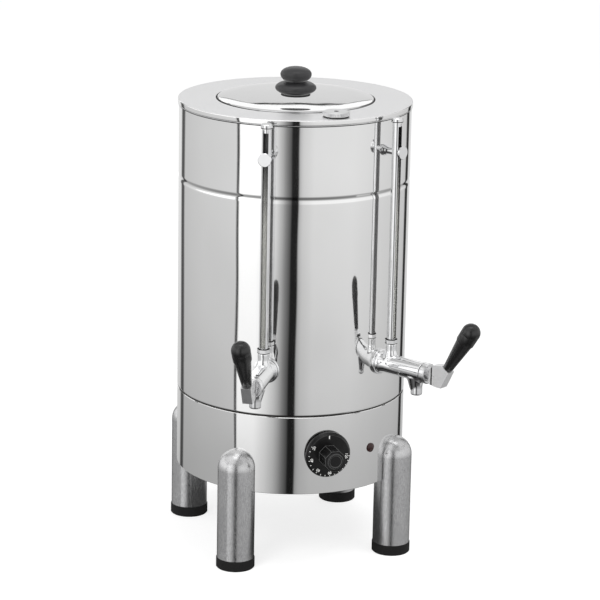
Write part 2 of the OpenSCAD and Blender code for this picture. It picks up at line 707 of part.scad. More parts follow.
module filler_plug() color("silver") turn(plug_turn) translate([0, -plug_u, deck_z + seal]) difference() {
    union() {
        translate([0, 0, 0.6]) linear_extrude(height = 3.2) polygon([for (i = [0 : 71])
            (plug_dia / 2 - (i % 2) * 0.6) * [cos(5 * i), sin(5 * i)]]);
        cylinder(h = 0.7, r = plug_dia / 2 - 0.8);
        translate([0, 0, 3.7]) cylinder(h = 0.8, r1 = plug_dia / 2 - 0.7, r2 = plug_dia / 2 - 1.5);
        translate([0, 0, -seal - 9]) cylinder(h = 10 + seal, r = filler_r - 0.4);
    }
    translate([0, 0, -20]) cylinder(h = 40, r = 2);
}

module plug_seal() color("dimgray") turn(plug_turn) translate([0, -plug_u, 0])
    pipe(plug_dia / 2 - 1.2, filler_r - 0.4, deck_z, deck_z + seal);

// Dial: bevelled disc with an eight-sided grip and a round boss
module dial_knob() color("black") translate([0, 0, dial_z]) difference() {
    union() {
        outward(0) rotate_extrude() polygon([[0, dial_w], [dial_dia / 2 - 0.5, dial_w],
            [dial_dia / 2, dial_w + 0.5], [dial_dia / 2, dial_w + 3.2], [dial_dia / 2 - 2.6, dial_face],
            [0, dial_face]]);
        outward(dial_face - 1) rotate([0, 0, 22.5]) cylinder(h = grip_height + 1, r = 12.4, $fn = 8);
        outward(dial_face + grip_height - 1) cylinder(h = 2.6, r1 = 9, r2 = 8.5);
    }
    outward(dial_face + grip_height + 0.8) cylinder(h = 2, r = 6.6);
    outward(0) cylinder(h = 3.4, r = 9);
    outward(0) cylinder(h = dial_face + 14, r = spindle_r);
}

module dial_spindle() color("silver") translate([0, 0, dial_z]) outward(-19.5)
    cylinder(h = 19.5 + dial_face + 13.5, r = spindle_r);

outer_shell();
top_deck();
inner_pot();
tank_floor();
base_skirt();
base_cover();
base_cover_screws();
heating_element();
element_nuts();
thermostat_body();
thermostat_nut();
thermostat_bulb();
lamp_lens();
lamp_nut();
cable_gland();
gland_nut();
leg_front_left();
leg_front_right();
leg_rear_left();
leg_rear_right();
foot_front_left();
foot_front_right();
foot_rear_left();
foot_rear_right();
leg_screws();
left_gauge_glass();
right_gauge_glass();
left_gauge_guard();
right_gauge_guard();
left_gauge_cap();
right_gauge_cap();
gauge_nuts();
left_gauge_bracket();
right_gauge_bracket();
gauge_screws();
left_tap_body();
right_tap_body();
tap_locknuts();
tap_gaskets();
left_tap_bonnet();
right_tap_bonnet();
left_tap_stem();
right_tap_stem();
left_seat_cup();
right_seat_cup();
left_tap_lever();
right_tap_lever();
left_tap_handle();
right_tap_handle();
left_lever_pin();
right_lever_pin();
draw_pipe();
lid();
lid_knob();
lid_knob_screw();
filler_plug();
plug_seal();
dial_knob();
dial_spindle();
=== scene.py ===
from math import cos, hypot, pi, radians, sin, tan

import bmesh
import bpy
from mathutils import Matrix, Vector


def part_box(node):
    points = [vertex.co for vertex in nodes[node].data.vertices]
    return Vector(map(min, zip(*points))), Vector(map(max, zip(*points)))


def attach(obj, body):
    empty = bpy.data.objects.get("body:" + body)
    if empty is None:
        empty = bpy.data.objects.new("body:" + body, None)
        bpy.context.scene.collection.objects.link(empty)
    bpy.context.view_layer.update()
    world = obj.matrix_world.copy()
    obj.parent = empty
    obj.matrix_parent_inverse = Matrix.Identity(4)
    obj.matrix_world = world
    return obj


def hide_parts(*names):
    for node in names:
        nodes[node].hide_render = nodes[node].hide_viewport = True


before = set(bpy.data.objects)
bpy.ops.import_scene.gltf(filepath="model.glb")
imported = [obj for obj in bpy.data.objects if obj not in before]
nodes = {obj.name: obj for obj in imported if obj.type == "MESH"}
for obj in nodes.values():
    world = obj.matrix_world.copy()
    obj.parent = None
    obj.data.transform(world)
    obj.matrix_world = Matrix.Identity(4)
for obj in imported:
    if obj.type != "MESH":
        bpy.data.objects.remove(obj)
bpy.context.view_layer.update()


# The studio: a long lens somewhat above the urn, a white sweep under it and a pale tent all round.
# The tent has narrow dark openings, which the polished steel shows as upright dark lines, and one
# wide opening where the lens looks in.
class Wire:
    def __init__(self, tree, socket=None):
        self.tree = tree
        self.socket = socket

    def node(self, kind, settings=None, sockets=None, out=0):
        made = self.tree.nodes.new("ShaderNode" + kind)
        for name, value in (settings or {}).items():
            if name == "stops":
                ramp = made.color_ramp.elements
                for place, tone in value[2:]:
                    ramp.new(place)
                for stop, (place, tone) in zip(ramp, value):
                    stop.position = place
                    stop.color = (tone, tone, tone, 1)
            else:
                setattr(made, name, value)
        for name, value in (sockets or {}).items():
            if isinstance(value, Wire):
                self.tree.links.new(value.socket, made.inputs[name])
            else:
                made.inputs[name].default_value = value
        return Wire(self.tree, made.outputs[out] if len(made.outputs) else None)

    def maths(self, operation, *values):
        return self.node("Math", {"operation": operation}, dict(enumerate(values)))

    def axis(self, letter):
        return self.node("SeparateXYZ", None, {0: self}, letter)

    def eased(self, start, end, low=0.0, high=1.0):
        return self.node("MapRange", None, {"Value": self, 1: start, 2: end, 3: low, 4: high})

    def within(self, low, high):
        return (self > low) * (self < high)

    def __abs__(self):
        return self.maths("ABSOLUTE", self)

    def __add__(self, other):
        return self.maths("ADD", self, other)

    def __sub__(self, other):
        return self.maths("SUBTRACT", self, other)

    def __rsub__(self, other):
        return self.maths("SUBTRACT", other, self)

    def __mul__(self, other):
        return self.maths("MULTIPLY", self, other)

    def __truediv__(self, other):
        return self.maths("DIVIDE", self, other)

    def __gt__(self, other):
        return self.maths("GREATER_THAN", self, other)

    def __lt__(self, other):
        return self.maths("LESS_THAN", self, other)

    __radd__ = __add__
    __rmul__ = __mul__


lens_turn = radians(-18.82)
lens_rise = radians(15.29)
lens_roll = radians(1.074)
lens_off = 2.9359
aim_aside, aim_high = 0.009111, 0.278424
across = Vector((cos(lens_turn), sin(lens_turn), 0))
towards = Vector((sin(lens_turn) * cos(lens_rise), -cos(lens_turn) * cos(lens_rise), sin(lens_rise)))
upwards = towards.cross(across)
aim = across * aim_aside + Vector((0, 0, aim_high))
lens = bpy.data.cameras.new("lens")
lens.lens = 154.64
lens.sensor_width = 36
lens.clip_end = 50
camera = bpy.data.objects.new("camera", lens)
camera.matrix_world = Matrix.Translation(aim + towards * lens_off) @ Matrix((
    across * cos(lens_roll) + upwards * sin(lens_roll),
    upwards * cos(lens_roll) - across * sin(lens_roll),
    towards)).transposed().to_4x4()
bpy.context.collection.objects.link(camera)
bpy.context.scene.camera = camera
bpy.context.scene.view_settings.view_transform = "Standard"


# The tent's cloth, as tones against degrees: round it from the lens, and up from eye level. Its hem
# and its seam are dark lines, its roof is brightest in front, and a side table stands on the right.
def painted(degrees, full, tones):
    top = max(tone for place, tone in tones)
    stops = [(place / full + 0.5, tone / top) for place, tone in tones]
    return degrees.node("ValToRGB", {"stops": stops}, {"Fac": degrees / full + 0.5}) * top


tent_round = [
    (-180, 0.85), (-152, 0.80), (-148, 0.10), (-141, 0.10), (-138, 0.60), (-100, 0.68), (-62, 0.72),
    (-59, 0.74), (-58, 0.06), (-56, 0.06), (-55, 1.25), (-36, 1.25), (-24, 0.98), (-16, 0.72),
    (-10.5, 0.45), (-7.5, 0.27), (-4.5, 0.16), (-2.6, 0.10), (-2.1, 0.017), (4.6, 0.017), (5.4, 0.50),
    (9, 0.68), (20, 0.80), (60, 0.83), (90, 0.76), (125, 0.68), (143.4, 0.62), (145.8, 0.03),
    (153.2, 0.03), (155.6, 0.70), (180, 0.85)]
tent_down = [
    (-90, 0.32), (-74, 0.28), (-66, 0.06), (-58, 0.07), (-48, 0.10), (-38, 0.16), (-30, 0.36),
    (-19, 0.63), (-17, 0.80), (-15, 0.90), (-12, 1.0), (90, 1.0)]
side_table = [(-90, 0.0), (-65, 0.05), (-48, 0.72), (-30, 0.72), (-22, 0.3), (0, 0.0), (90, 0.0)]
tent_up = [(0, 0.84), (8, 0.76), (12, 0.70), (90, 0.70)]
tent_high = [
    (-180, 0.62), (-125, 0.62), (-108, 1.1), (-20, 1.1), (-4, 0.6), (40, 0.6), (62, 0.9), (120, 0.9),
    (140, 0.6), (180, 0.62)]
table_from, table_to = 70, 160
rear_from, lit_to = 155, -60
lift_from, lift_to = -9, -1
hem_low, hem_high = 12.4, 12.75
seam_low, seam_high, vault_from = 31, 33.5, 36
crown_from, crown_to = 66, 76
roof_tone, crown_tone, matt_tone = 1.08, 2.2, 0.55
tent = bpy.data.worlds.new("tent")
tent.use_nodes = True
tent.node_tree.nodes.clear()
sky = Wire(tent.node_tree)
seen = sky.maths("MAXIMUM", sky.node("LightPath", out="Is Camera Ray"),
                 sky.node("LightPath", out="Is Transmission Ray"))
mirrored = sky.node("LightPath", out="Is Glossy Ray")
gaze = sky.node("VectorRotate", {"rotation_type": "Z_AXIS"},
                {"Vector": sky.node("TexCoord", out="Generated"), "Angle": -lens_turn})
bearing = sky.maths("ARCTAN2", gaze.axis("X"), gaze.axis("Y") * -1) * (180 / pi)
height = sky.maths("ARCSINE", gaze.axis("Z")) * (180 / pi)
walls = painted(bearing, 360, tent_round)
panels = painted(bearing, 360, tent_high)
lower = painted(height, 180, tent_down)
curtain = painted(height, 180, tent_up)
aside = painted(height, 180, side_table) * bearing.within(table_from, table_to)
rear = abs(bearing) > rear_from
past = height > hem_high
roof = (1 - past) * curtain * (1 - 0.96 * height.within(hem_low, hem_high)) + past * roof_tone
seam = height.within(seam_low, seam_high) * (1 - rear)
high = height.eased(seam_high, vault_from)
crown = height.eased(crown_from, crown_to) * (gaze.axis("Y") < 0)
vault = (1 - crown) * panels + crown * crown_tone
lit_side = 1 + 0.45 * (bearing < lit_to)
lift = 1 + 0.24 * height.eased(lift_from, lift_to)
middle = (rear * roof + (1 - rear) * walls * lit_side * lift) * (1 - 0.85 * seam)
above = height > 0
shown = (above * ((1 - high) * middle + high * vault)
         + (1 - above) * walls * lift * sky.maths("MAXIMUM", lower, aside))
glow = seen + (1 - seen) * (mirrored * shown + (1 - mirrored) * matt_tone)
sky.node("OutputWorld", None, {"Surface": sky.node("Background", None, {"Color": glow})})
bpy.context.scene.world = tent


# The floor is a wide sheet of white paper, lit evenly. In mirrors it lets the tent show through,
# apart from a painted shadow under the urn. Two soft round lamps hang at the left and overhead.
sweep_r, dark_r, open_r = 6, 0.10, 0.15
sweep = bmesh.new()
bmesh.ops.create_circle(sweep, cap_ends=True, segments=96, radius=sweep_r)
sweep_mesh = bpy.data.meshes.new("floor")
sweep.to_mesh(sweep_mesh)
sweep.free()
floor = bpy.data.objects.new("floor", sweep_mesh)
bpy.context.collection.objects.link(floor)
paper = bpy.data.materials.new("white_paper")
paper.use_nodes = True
paper.node_tree.nodes.clear()
sheet = Wire(paper.node_tree)
lifted = sheet.node("AddShader", None, {
    0: sheet.node("BsdfDiffuse", None, {"Color": (0.42, 0.42, 0.42, 1)}),
    1: sheet.node("Emission", None, {"Color": (0.76, 0.76, 0.76, 1), "Strength": 1.0})})
from_urn = sheet.node("VectorMath", {"operation": "LENGTH"},
                      {0: sheet.node("TexCoord", out="Object")}, "Value")
# Under the urn, glossy rays meet dark emission: a painted shadow on the floor.
mirrored_floor_shadow = sheet.node("MixShader", None, {
    "Fac": from_urn.eased(dark_r, open_r),
    1: sheet.node("Emission", None, {"Color": (0.05, 0.05, 0.05, 1)}),
    2: sheet.node("BsdfTransparent")})
let_by = sheet.node("MixShader", None, {
    "Fac": sheet.node("LightPath", out="Is Glossy Ray"), 1: lifted, 2: mirrored_floor_shadow})
sheet.node("OutputMaterial", None, {"Surface": let_by})
sweep_mesh.materials.append(paper)

lamp_aim = Vector((0, 0, 0.25))
for name, place, size, power in (("side_lamp", (-1.6, -1.5, 1.9), 1.2, 26),
                                 ("top_lamp", (0.7, -0.6, 2.4), 1.4, 22)):
    light = bpy.data.lights.new(name, "AREA")
    light.shape = "DISK"
    light.size = size
    light.energy = power
    lamp = bpy.data.objects.new(name, light)
    lamp.location = place
    lamp.rotation_euler = (Vector(place) - lamp_aim).to_track_quat("Z", "Y").to_euler()
    lamp.visible_glossy = False
    bpy.context.collection.objects.link(lamp)


# The coffee pot, the tank floor that it hangs over, the draw pipe and the cover under the base:
# plain stainless sheet, deep-drawn or rolled and left with its mill finish and drawing lines.
def finish(name, recipe, **fixed):
    made = bpy.data.materials.new(name)
    made.use_nodes = True
    shader = made.node_tree.nodes["Principled BSDF"]
    for socket, value in fixed.items():
        shader.inputs[socket.replace("_", " ")].default_value = value
    for socket, wire in recipe(Wire(made.node_tree).node("TexCoord", out="Object")).items():
        made.node_tree.links.new(wire.socket, shader.inputs[socket.replace("_", " ")])
    return made


def grain(spot, stretch, detail=3.0, rough=0.5):
    scale = stretch if isinstance(stretch, tuple) else (stretch, stretch, stretch)
    drawn = spot.node("Mapping", None, {"Vector": spot, "Scale": scale})
    return spot.node("TexNoise", None, {"Vector": drawn, "Scale": 1.0, "Detail": detail, "Roughness": rough})


def tint(spot, share, *colours):
    first, second = (colour if isinstance(colour, Wire) else (*colour, 1) for colour in colours)
    return spot.node("Mix", {"data_type": "RGBA"}, {"Factor": share, 6: first, 7: second}, 2)


def relief(spot, bumps, depth, strength):
    return spot.node("Bump", None, {"Height": bumps, "Distance": depth, "Strength": strength})


def dress(material, *names):
    for name in names:
        nodes[name].material_slots[0].material = material


def sheet_recipe(spot):
    lines = grain(spot, (900, 900, 25))
    cloud = grain(spot, 14, detail=4)
    return {"Base_Color": tint(spot, cloud, (0.60, 0.60, 0.59), (0.70, 0.70, 0.70)),
            "Roughness": 0.24 + 0.16 * lines + 0.06 * cloud,
            "Normal": relief(spot, lines, 0.00004, 0.6)}


dress(finish("sheet_steel", sheet_recipe, Metallic=1.0), "inner_pot", "tank_floor", "base_cover", "draw_pipe")


# The heater: a steel-sheathed loop in the water jacket, blued by heat, its ends held under the tank
# floor by turned brass nuts like the taps' locknuts; and the thermostat in the base, with an ivory
# moulded body and a copper bulb and capillary.
def element_recipe(spot):
    heat = grain(spot, 45, detail=5)
    fine = grain(spot, 1500)
    return {"Base_Color": tint(spot, heat, (0.16, 0.15, 0.16), (0.30, 0.27, 0.24)),
            "Roughness": 0.42 + 0.2 * fine,
            "Normal": relief(spot, fine, 0.00004, 0.5)}


def brass_recipe(spot):
    turned = grain(spot, 600, detail=2)
    dull = grain(spot, 60, detail=4)
    return {"Base_Color": tint(spot, dull, (0.62, 0.44, 0.18), (0.76, 0.60, 0.30)),
            "Roughness": 0.22 + 0.2 * turned + 0.1 * dull,
            "Normal": relief(spot, turned, 0.00003, 0.5)}


def ivory_recipe(spot):
    speck = grain(spot, 1200, detail=2)
    shade = grain(spot, 50)
    return {"Base_Color": tint(spot, shade, (0.78, 0.74, 0.64), (0.86, 0.83, 0.75)),
            "Roughness": 0.46 + 0.14 * speck,
            "Normal": relief(spot, speck, 0.00004, 0.5)}


def copper_recipe(spot):
    dull = grain(spot, 90, detail=5)
    return {"Base_Color": tint(spot, dull, (0.56, 0.29, 0.17), (0.78, 0.48, 0.33)),
            "Roughness": 0.26 + 0.22 * dull,
            "Normal": relief(spot, dull, 0.00005, 0.4)}


dress(finish("blued_element", element_recipe, Metallic=1.0), "heating_element")
dress(finish("turned_brass", brass_recipe, Metallic=1.0), "element_nuts", "tap_locknuts")
dress(finish("ivory_plastic", ivory_recipe), "thermostat_body")
dress(finish("copper_tube", copper_recipe, Metallic=1.0), "thermostat_bulb")


# The body: one sheet of stainless steel rolled into a cylinder, with a bead rolled in under the
# top, then buffed to a mirror. The strip under the deck's rim is painted near black: painted shade.
mm = 0.001
shell_r, shell_low, shell_top = 130, 180.9, 511
bead_z, bead_dip, bead_half, bead_land = 424.2, 0.3, 4.4, 5.2
rim_shade_from = 504.6


def piece(name, bm, crease=40):
    mesh = bpy.data.meshes.new(name)
    bm.to_mesh(mesh)
    bm.free()
    mesh.shade_smooth()
    mesh.set_sharp_from_angle(angle=radians(crease))
    made = bpy.data.objects.new(name, mesh)
    bpy.context.collection.objects.link(made)
    return made


def spun(name, outline, steps=256, crease=40):
    bm = bmesh.new()
    ring = [bm.verts.new((r * mm, 0, z * mm)) for r, z in outline]
    chain = [bm.edges.new(pair) for pair in zip(ring, ring[1:])]
    if outline[0][0] > 0:
        chain.append(bm.edges.new((ring[-1], ring[0])))
    bmesh.ops.spin(bm, geom=ring + chain, axis=(0, 0, 1), cent=(0, 0, 0), angle=2 * pi, steps=steps,
                   use_merge=True)
    bmesh.ops.remove_doubles(bm, verts=bm.verts, dist=1e-6)
    bmesh.ops.recalc_face_normals(bm, faces=bm.faces)
    return piece(name, bm, crease)


def mirror_recipe(spot):
    lines = grain(spot, (700, 700, 9), detail=4)
    sway = grain(spot, (9, 9, 5), detail=1)
    smear = grain(spot, (30, 30, 18), detail=5)
    return {"Base_Color": tint(spot, smear, (0.87, 0.87, 0.865), (0.91, 0.91, 0.91)),
            "Roughness": 0.025 + 0.03 * lines + 0.03 * smear,
            "Normal": relief(spot, sway + 0.001 * lines, 0.0016, 0.9)}


# Paints the masked part near black and matt. It paints shade under the rim, at the lid's seat, in the
# bonnet's seam, across the lever's groove and inside the gauge guards, and darkens the seams of the nuts and
# caps.
def soiled(spot, made, where):
    made["Base_Color"] = tint(spot, where, made["Base_Color"], (0.02, 0.02, 0.02))
    made["Roughness"] = (1 - where) * made["Roughness"] + 0.6 * where
    return made


# The shell's top strip, just under the rim's lip, is painted near black: painted shade under the rim.
def shell_recipe(spot):
    return soiled(spot, mirror_recipe(spot), spot.axis("Z") > rim_shade_from * mm)


shell_foot = [(shell_r - 1, shell_low), (shell_r - 0.6, shell_low), (shell_r - 0.2, shell_low + 0.2),
              (shell_r, shell_low + 0.7), (shell_r, shell_low + 1.4)]
bead = [(shell_r - bead_dip - bead_dip * cos(pi * i / 12), bead_z + bead_half * i / 12)
        for i in range(-12, 13)]
shell_head = [(shell_r, shell_top - 0.5), (shell_r, shell_top), (shell_r - 1, shell_top)]
shell = spun("shell_skin", shell_foot + [(shell_r, bead_z - bead_land)] + bead
             + [(shell_r, bead_z + bead_land)] + shell_head)
shell.data.materials.append(finish("shell_steel", shell_recipe, Metallic=1.0))
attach(shell, "urn")
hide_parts("outer_shell")


# The base's skirt is a band of the same polished sheet. The lap that the body stands on is painted
# near black and matt, a painted shade that shows as a dark line in the joint.
lap_z = 179.15


def skirt_recipe(spot):
    made = mirror_recipe(spot)
    mottle = grain(spot, 160, detail=5)
    # Above the lap's height the skirt is painted near black and matt with a faint mottle: painted shade in
    # the joint's gap.
    lap_shade = spot.axis("Z") > lap_z * mm
    gap_shade = tint(spot, mottle, (0.010, 0.009, 0.008), (0.035, 0.032, 0.030))
    made["Base_Color"] = tint(spot, lap_shade, made["Base_Color"], gap_shade)
    made["Roughness"] = (1 - lap_shade) * made["Roughness"] + lap_shade * (0.6 + 0.3 * mottle)
    made["Metallic"] = 1 - lap_shade
    return made


dress(finish("skirt_steel", skirt_recipe, Specular_IOR_Level=0.2), "base_skirt")


# The deck closes the water jacket: a pressed ring, satin on top, with its rim rolled down over the
# body and polished. A painted shadow line marks the lid's seat, mostly at the sides. The filler plug
# in it is a knurled disc with a steam hole, painted black as the hole's shade, on a rubber ring.
seat_r, seat_core, seat_edge = 88, 0.85, 1.25
faint_to, full_from = 40, 72
plug_out, plug_turn, steam_hole_r = 110, radians(5), 2.7
roll_r, roll_z, roll_size = 130.1, 510.95, 1.1
lip_r, lip_z, lip_size = 129.5, 507.2, 1.7


def away(spot, centre, kept):
    flat = spot.node("VectorMath", {"operation": "MULTIPLY"}, {0: spot, 1: kept})
    return spot.node("VectorMath", {"operation": "DISTANCE"}, {0: flat, 1: centre}, "Value")


def satin_recipe(spot):
    fine = grain(spot, 1300, detail=2)
    cloud = grain(spot, 18, detail=4)
    # The lid's seat gets a painted shadow line, stronger towards the left and right.
    ends = abs(spot.axis("X")).eased(faint_to * mm, full_from * mm, 0.25, 1)
    off = abs(away(spot, (0, 0, 0), (1, 1, 0)) - seat_r * mm)
    seat = ends * off.eased(seat_edge * mm, seat_core * mm)
    return soiled(spot, {"Base_Color": tint(spot, cloud, (0.76, 0.76, 0.765), (0.795, 0.795, 0.80)),
                         "Roughness": 0.25 + 0.06 * fine + 0.04 * cloud,
                         "Normal": relief(spot, 0.02 * fine - seat, 0.0005, 0.4)}, seat)


def plug_recipe(spot):
    fine = grain(spot, 1600, detail=3)
    worn = grain(spot, 120, detail=4)
    centre = Vector((plug_out * sin(plug_turn), -plug_out * cos(plug_turn), 0)) * mm
    # The steam hole is painted black: painted shade inside the hole.
    bore_shade = away(spot, centre, (1, 1, 0)) < steam_hole_r * mm
    skin = tint(spot, worn, (0.62, 0.62, 0.63), (0.86, 0.86, 0.86))
    return {"Base_Color": tint(spot, bore_shade, skin, (0.006, 0.006, 0.006)),
            "Roughness": 0.3 + 0.12 * fine + 0.1 * worn,
            "Normal": relief(spot, fine, 0.00006, 0.5)}


def rubber_recipe(spot):
    fine = grain(spot, 1800, detail=3)
    dust = grain(spot, (70, 70, 40), detail=5)
    return {"Base_Color": tint(spot, dust, (0.006, 0.006, 0.006), (0.016, 0.016, 0.016)),
            "Roughness": 0.62 + 0.2 * dust,
            "Normal": relief(spot, fine, 0.00012, 0.5)}


def arc(r, z, wide, tall, degrees, swell=1):
    return [(r + wide * cos(radians(t)) ** swell, z + tall * sin(radians(t))) for t in degrees]


dress(finish("satin_deck", satin_recipe, Metallic=1.0), "top_deck")
rim = spun("rim_roll", arc(roll_r, roll_z, roll_size, roll_size, range(90, -1, -10))
           + arc(lip_r, lip_z, lip_size, lip_size, range(0, -71, -10)))
rim.data.materials.append(finish("mirror_steel", mirror_recipe, Metallic=1.0))
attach(rim, "urn")
dress(finish("turned_plug", plug_recipe, Metallic=1.0), "filler_plug")
rubber = finish("black_rubber", rubber_recipe, Specular_IOR_Level=0.2)
dress(rubber, "plug_seal")


# Four legs stand outside the base: tubes of cast aluminium with domed tops, linished upright, so
# that their grain and small casting pits show. Each one ends in a moulded rubber foot.
dome_low, dome_high = 110, 120


def leg_recipe(spot):
    lines = grain(spot, (900, 900, 240), detail=3)
    pits = grain(spot, (640, 640, 520), detail=4, rough=0.6)
    cloud = grain(spot, (45, 45, 20), detail=3)
    deep = pits.eased(0.60, 0.70)
    dome = spot.axis("Z").eased(dome_low * mm, dome_high * mm)
    return {"Base_Color": tint(spot, 0.25 * cloud + 0.45 * lines + 0.3 * pits - 0.4 * deep,
                               (0.26, 0.26, 0.27), (0.90, 0.90, 0.90)),
            "Roughness": 0.13 + 0.14 * lines + 0.06 * cloud + 0.04 * dome,
            "Normal": relief(spot, (1 - 0.8 * dome) * (lines - 0.7 * deep + 0.5 * pits), 0.00007, 0.7)}


corners = ("front_left", "front_right", "rear_left", "rear_right")
dress(finish("linished_aluminium", leg_recipe, Metallic=1.0), *("leg_" + corner for corner in corners))
dress(rubber, *("foot_" + corner for corner in corners))


# Two taps: brass castings, dressed smooth and chromium plated, each with a turned bonnet, a stem
# and a soft seat cup. The castings have rounded fillets where the spout and gauge seat grow out;
# the wall flange, the bores and the faces round them keep the shape that the tools cut.
tap_turn = radians(30.5)
turns = {"left": -tap_turn, "right": tap_turn}
tap_z, spout_u, gauge_u = 233, 183.5, 146
bonnet_seam = 194.3
cast_necks = ((gauge_u, 5, 15, 9, 6.6), (spout_u - 1.5, -21, -6, 6.2, 10.6))
flange_face, chamber_clear, spout_clear, gauge_clear = 134.4, 9.8, 5, 4.8
cast_grid, hollow_depth = 0.5, 0.008


def chrome_recipe(spot):
    sway = grain(spot, 160, detail=1)
    smear = grain(spot, 90, detail=5)
    return {"Base_Color": tint(spot, smear, (0.83, 0.835, 0.845), (0.88, 0.88, 0.885)),
            "Roughness": 0.015 + 0.03 * smear,
            "Normal": relief(spot, sway, 0.00012, 0.4)}


def turned_recipe(spot):
    rings = grain(spot, 700, detail=2)
    smear = grain(spot, 90, detail=5)
    return {"Base_Color": tint(spot, smear, (0.80, 0.80, 0.81), (0.87, 0.87, 0.875)),
            "Roughness": 0.14 + 0.08 * rings + 0.06 * smear,
            "Normal": relief(spot, rings, 0.00003, 0.4)}


def reach(spot):
    return abs(spot.axis("X")) * sin(tap_turn) - spot.axis("Y") * cos(tap_turn)


# The bonnet's end short of the seam is painted near black: painted shade in the gap where the bonnet meets
# the barrel.
def bonnet_recipe(spot):
    return soiled(spot, turned_recipe(spot), reach(spot) < bonnet_seam * mm)


def silicone_recipe(spot):
    fine = grain(spot, 900, detail=2)
    shade = grain(spot, 120, detail=3)
    return {"Base_Color": tint(spot, shade, (0.76, 0.75, 0.70), (0.86, 0.86, 0.83)),
            "Roughness": 0.48 + 0.16 * fine,
            "Normal": relief(spot, fine, 0.00004, 0.4)}


def smoothed(bm, verts, strokes):
    for stroke in range(strokes):
        bmesh.ops.smooth_vert(bm, verts=verts, factor=0.5, use_axis_x=True, use_axis_y=True,
                              use_axis_z=True)


def recast(name, node, turn):
    out = Vector((sin(turn), -cos(turn), 0))
    beside = Vector((cos(turn), sin(turn), 0))
    bm = bmesh.new()
    bm.from_mesh(nodes[node].data)
    bmesh.ops.remove_doubles(bm, verts=bm.verts, dist=2e-6)
    for u, low, high, wide, narrow in cast_necks:
        centre = out * u * mm + Vector((0, 0, (tap_z + (low + high) / 2) * mm))
        bmesh.ops.create_cone(bm, cap_ends=True, segments=48, radius1=wide * mm, radius2=narrow * mm,
                              depth=(high - low) * mm, matrix=Matrix.Translation(centre))
    rough = piece(name + "_rough", bm)
    skin = rough.modifiers.new("cast_skin", "REMESH")
    skin.mode = "VOXEL"
    skin.voxel_size = cast_grid * mm
    bpy.context.view_layer.update()
    cast = bpy.data.meshes.new_from_object(rough.evaluated_get(bpy.context.evaluated_depsgraph_get()))
    bpy.data.objects.remove(rough)
    bm = bmesh.new()
    bm.from_mesh(cast)
    bpy.data.meshes.remove(cast)
    smoothed(bm, bm.verts, 1)
    open_skin = []
    for vert in bm.verts:
        u, off, up = vert.co.dot(out) / mm, vert.co.dot(beside) / mm, vert.co.z / mm - tap_z
        clear = hypot(off, u - spout_u) > spout_clear and hypot(off, u - gauge_u) > gauge_clear
        if clear and u > flange_face and hypot(off, up) > chamber_clear:
            open_skin.append(vert)
    for fill in range(9):
        bm.normal_update()
        hollow = []
        for vert in open_skin:
            ring = [edge.other_vert(vert).co for edge in vert.link_edges]
            if (sum(ring, Vector()) / len(ring) - vert.co).dot(vert.normal) > hollow_depth * mm:
                hollow.append(vert)
        smoothed(bm, hollow, 8)
    smoothed(bm, open_skin, 4)
    return piece(name, bm, 180)


chrome = finish("bright_chrome", chrome_recipe, Metallic=1.0)
turned_chrome = finish("turned_chrome", turned_recipe, Metallic=1.0)
turned_bonnet = finish("turned_bonnet", bonnet_recipe, Metallic=1.0)
silicone = finish("pale_silicone", silicone_recipe)
for side, turn in turns.items():
    casting = recast(side + "_casting", side + "_tap_body", turn)
    casting.data.materials.append(chrome)
    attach(casting, "urn")
    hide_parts(side + "_tap_body")
    dress(turned_bonnet, side + "_tap_bonnet")
    dress(turned_chrome, side + "_tap_stem")
    dress(silicone, side + "_seat_cup")
dress(silicone, "tap_gaskets")


# The levers: plated blocks that straddle the stem on a cross pin and cam against the bonnet,
# their sawn edges broken with a file. A moulded black handle is screwed on each one, with a small
# step where its round cap begins.
groove_near, groove_far = 206.6, 208.4
lever_edge = 0.4
handle_u, handle_z, handle_tilt = 225.7, 244.3, radians(32.5)
handle_cap_r, handle_cap_z = 10.45, 55.05
handle_stalk = [(0, 0.2), (5.1, 0.2), (5.5, 0.7), (9.35, 40.2), (9.45, 40.7), (10.05, 41.0), (10.2, 41.4),
                (10.35, 52.6), (10.2, 52.9), (10.2, 53.2), (10.4, 53.5)]


def black_recipe(spot):
    fine = grain(spot, 1500, detail=2)
    shade = grain(spot, 40, detail=4)
    return {"Base_Color": tint(spot, shade, (0.006, 0.006, 0.006), (0.012, 0.012, 0.012)),
            "Roughness": 0.14 + 0.08 * fine + 0.08 * shade,
            "Normal": relief(spot, fine, 0.00002, 0.4)}


def block_recipe(spot):
    fine = grain(spot, 1100, detail=3)
    shade = grain(spot, 150, detail=4)
    bright = tint(spot, 0.6 * shade + 0.4 * fine, (0.84, 0.84, 0.85), (0.99, 0.99, 0.99))
    # A band across the block at the groove is painted near black: painted shade for the groove's dark line.
    return soiled(spot, {"Base_Color": bright,
                         "Roughness": 0.38 + 0.10 * fine + 0.08 * shade,
                         "Normal": relief(spot, fine, 0.00006, 0.6)},
                  reach(spot).within(groove_near * mm, groove_far * mm))


def edged(name, node, width):
    bm = bmesh.new()
    bm.from_mesh(nodes[node].data)
    bmesh.ops.remove_doubles(bm, verts=bm.verts, dist=2e-6)
    bmesh.ops.dissolve_limit(bm, angle_limit=radians(1), verts=bm.verts, edges=bm.edges)
    made = piece(name, bm, 30)
    filed = made.modifiers.new("eased_edges", "BEVEL")
    filed.width = width * mm
    filed.segments = 2
    filed.limit_method = "ANGLE"
    filed.angle_limit = radians(35)
    filed.harden_normals = True
    return made


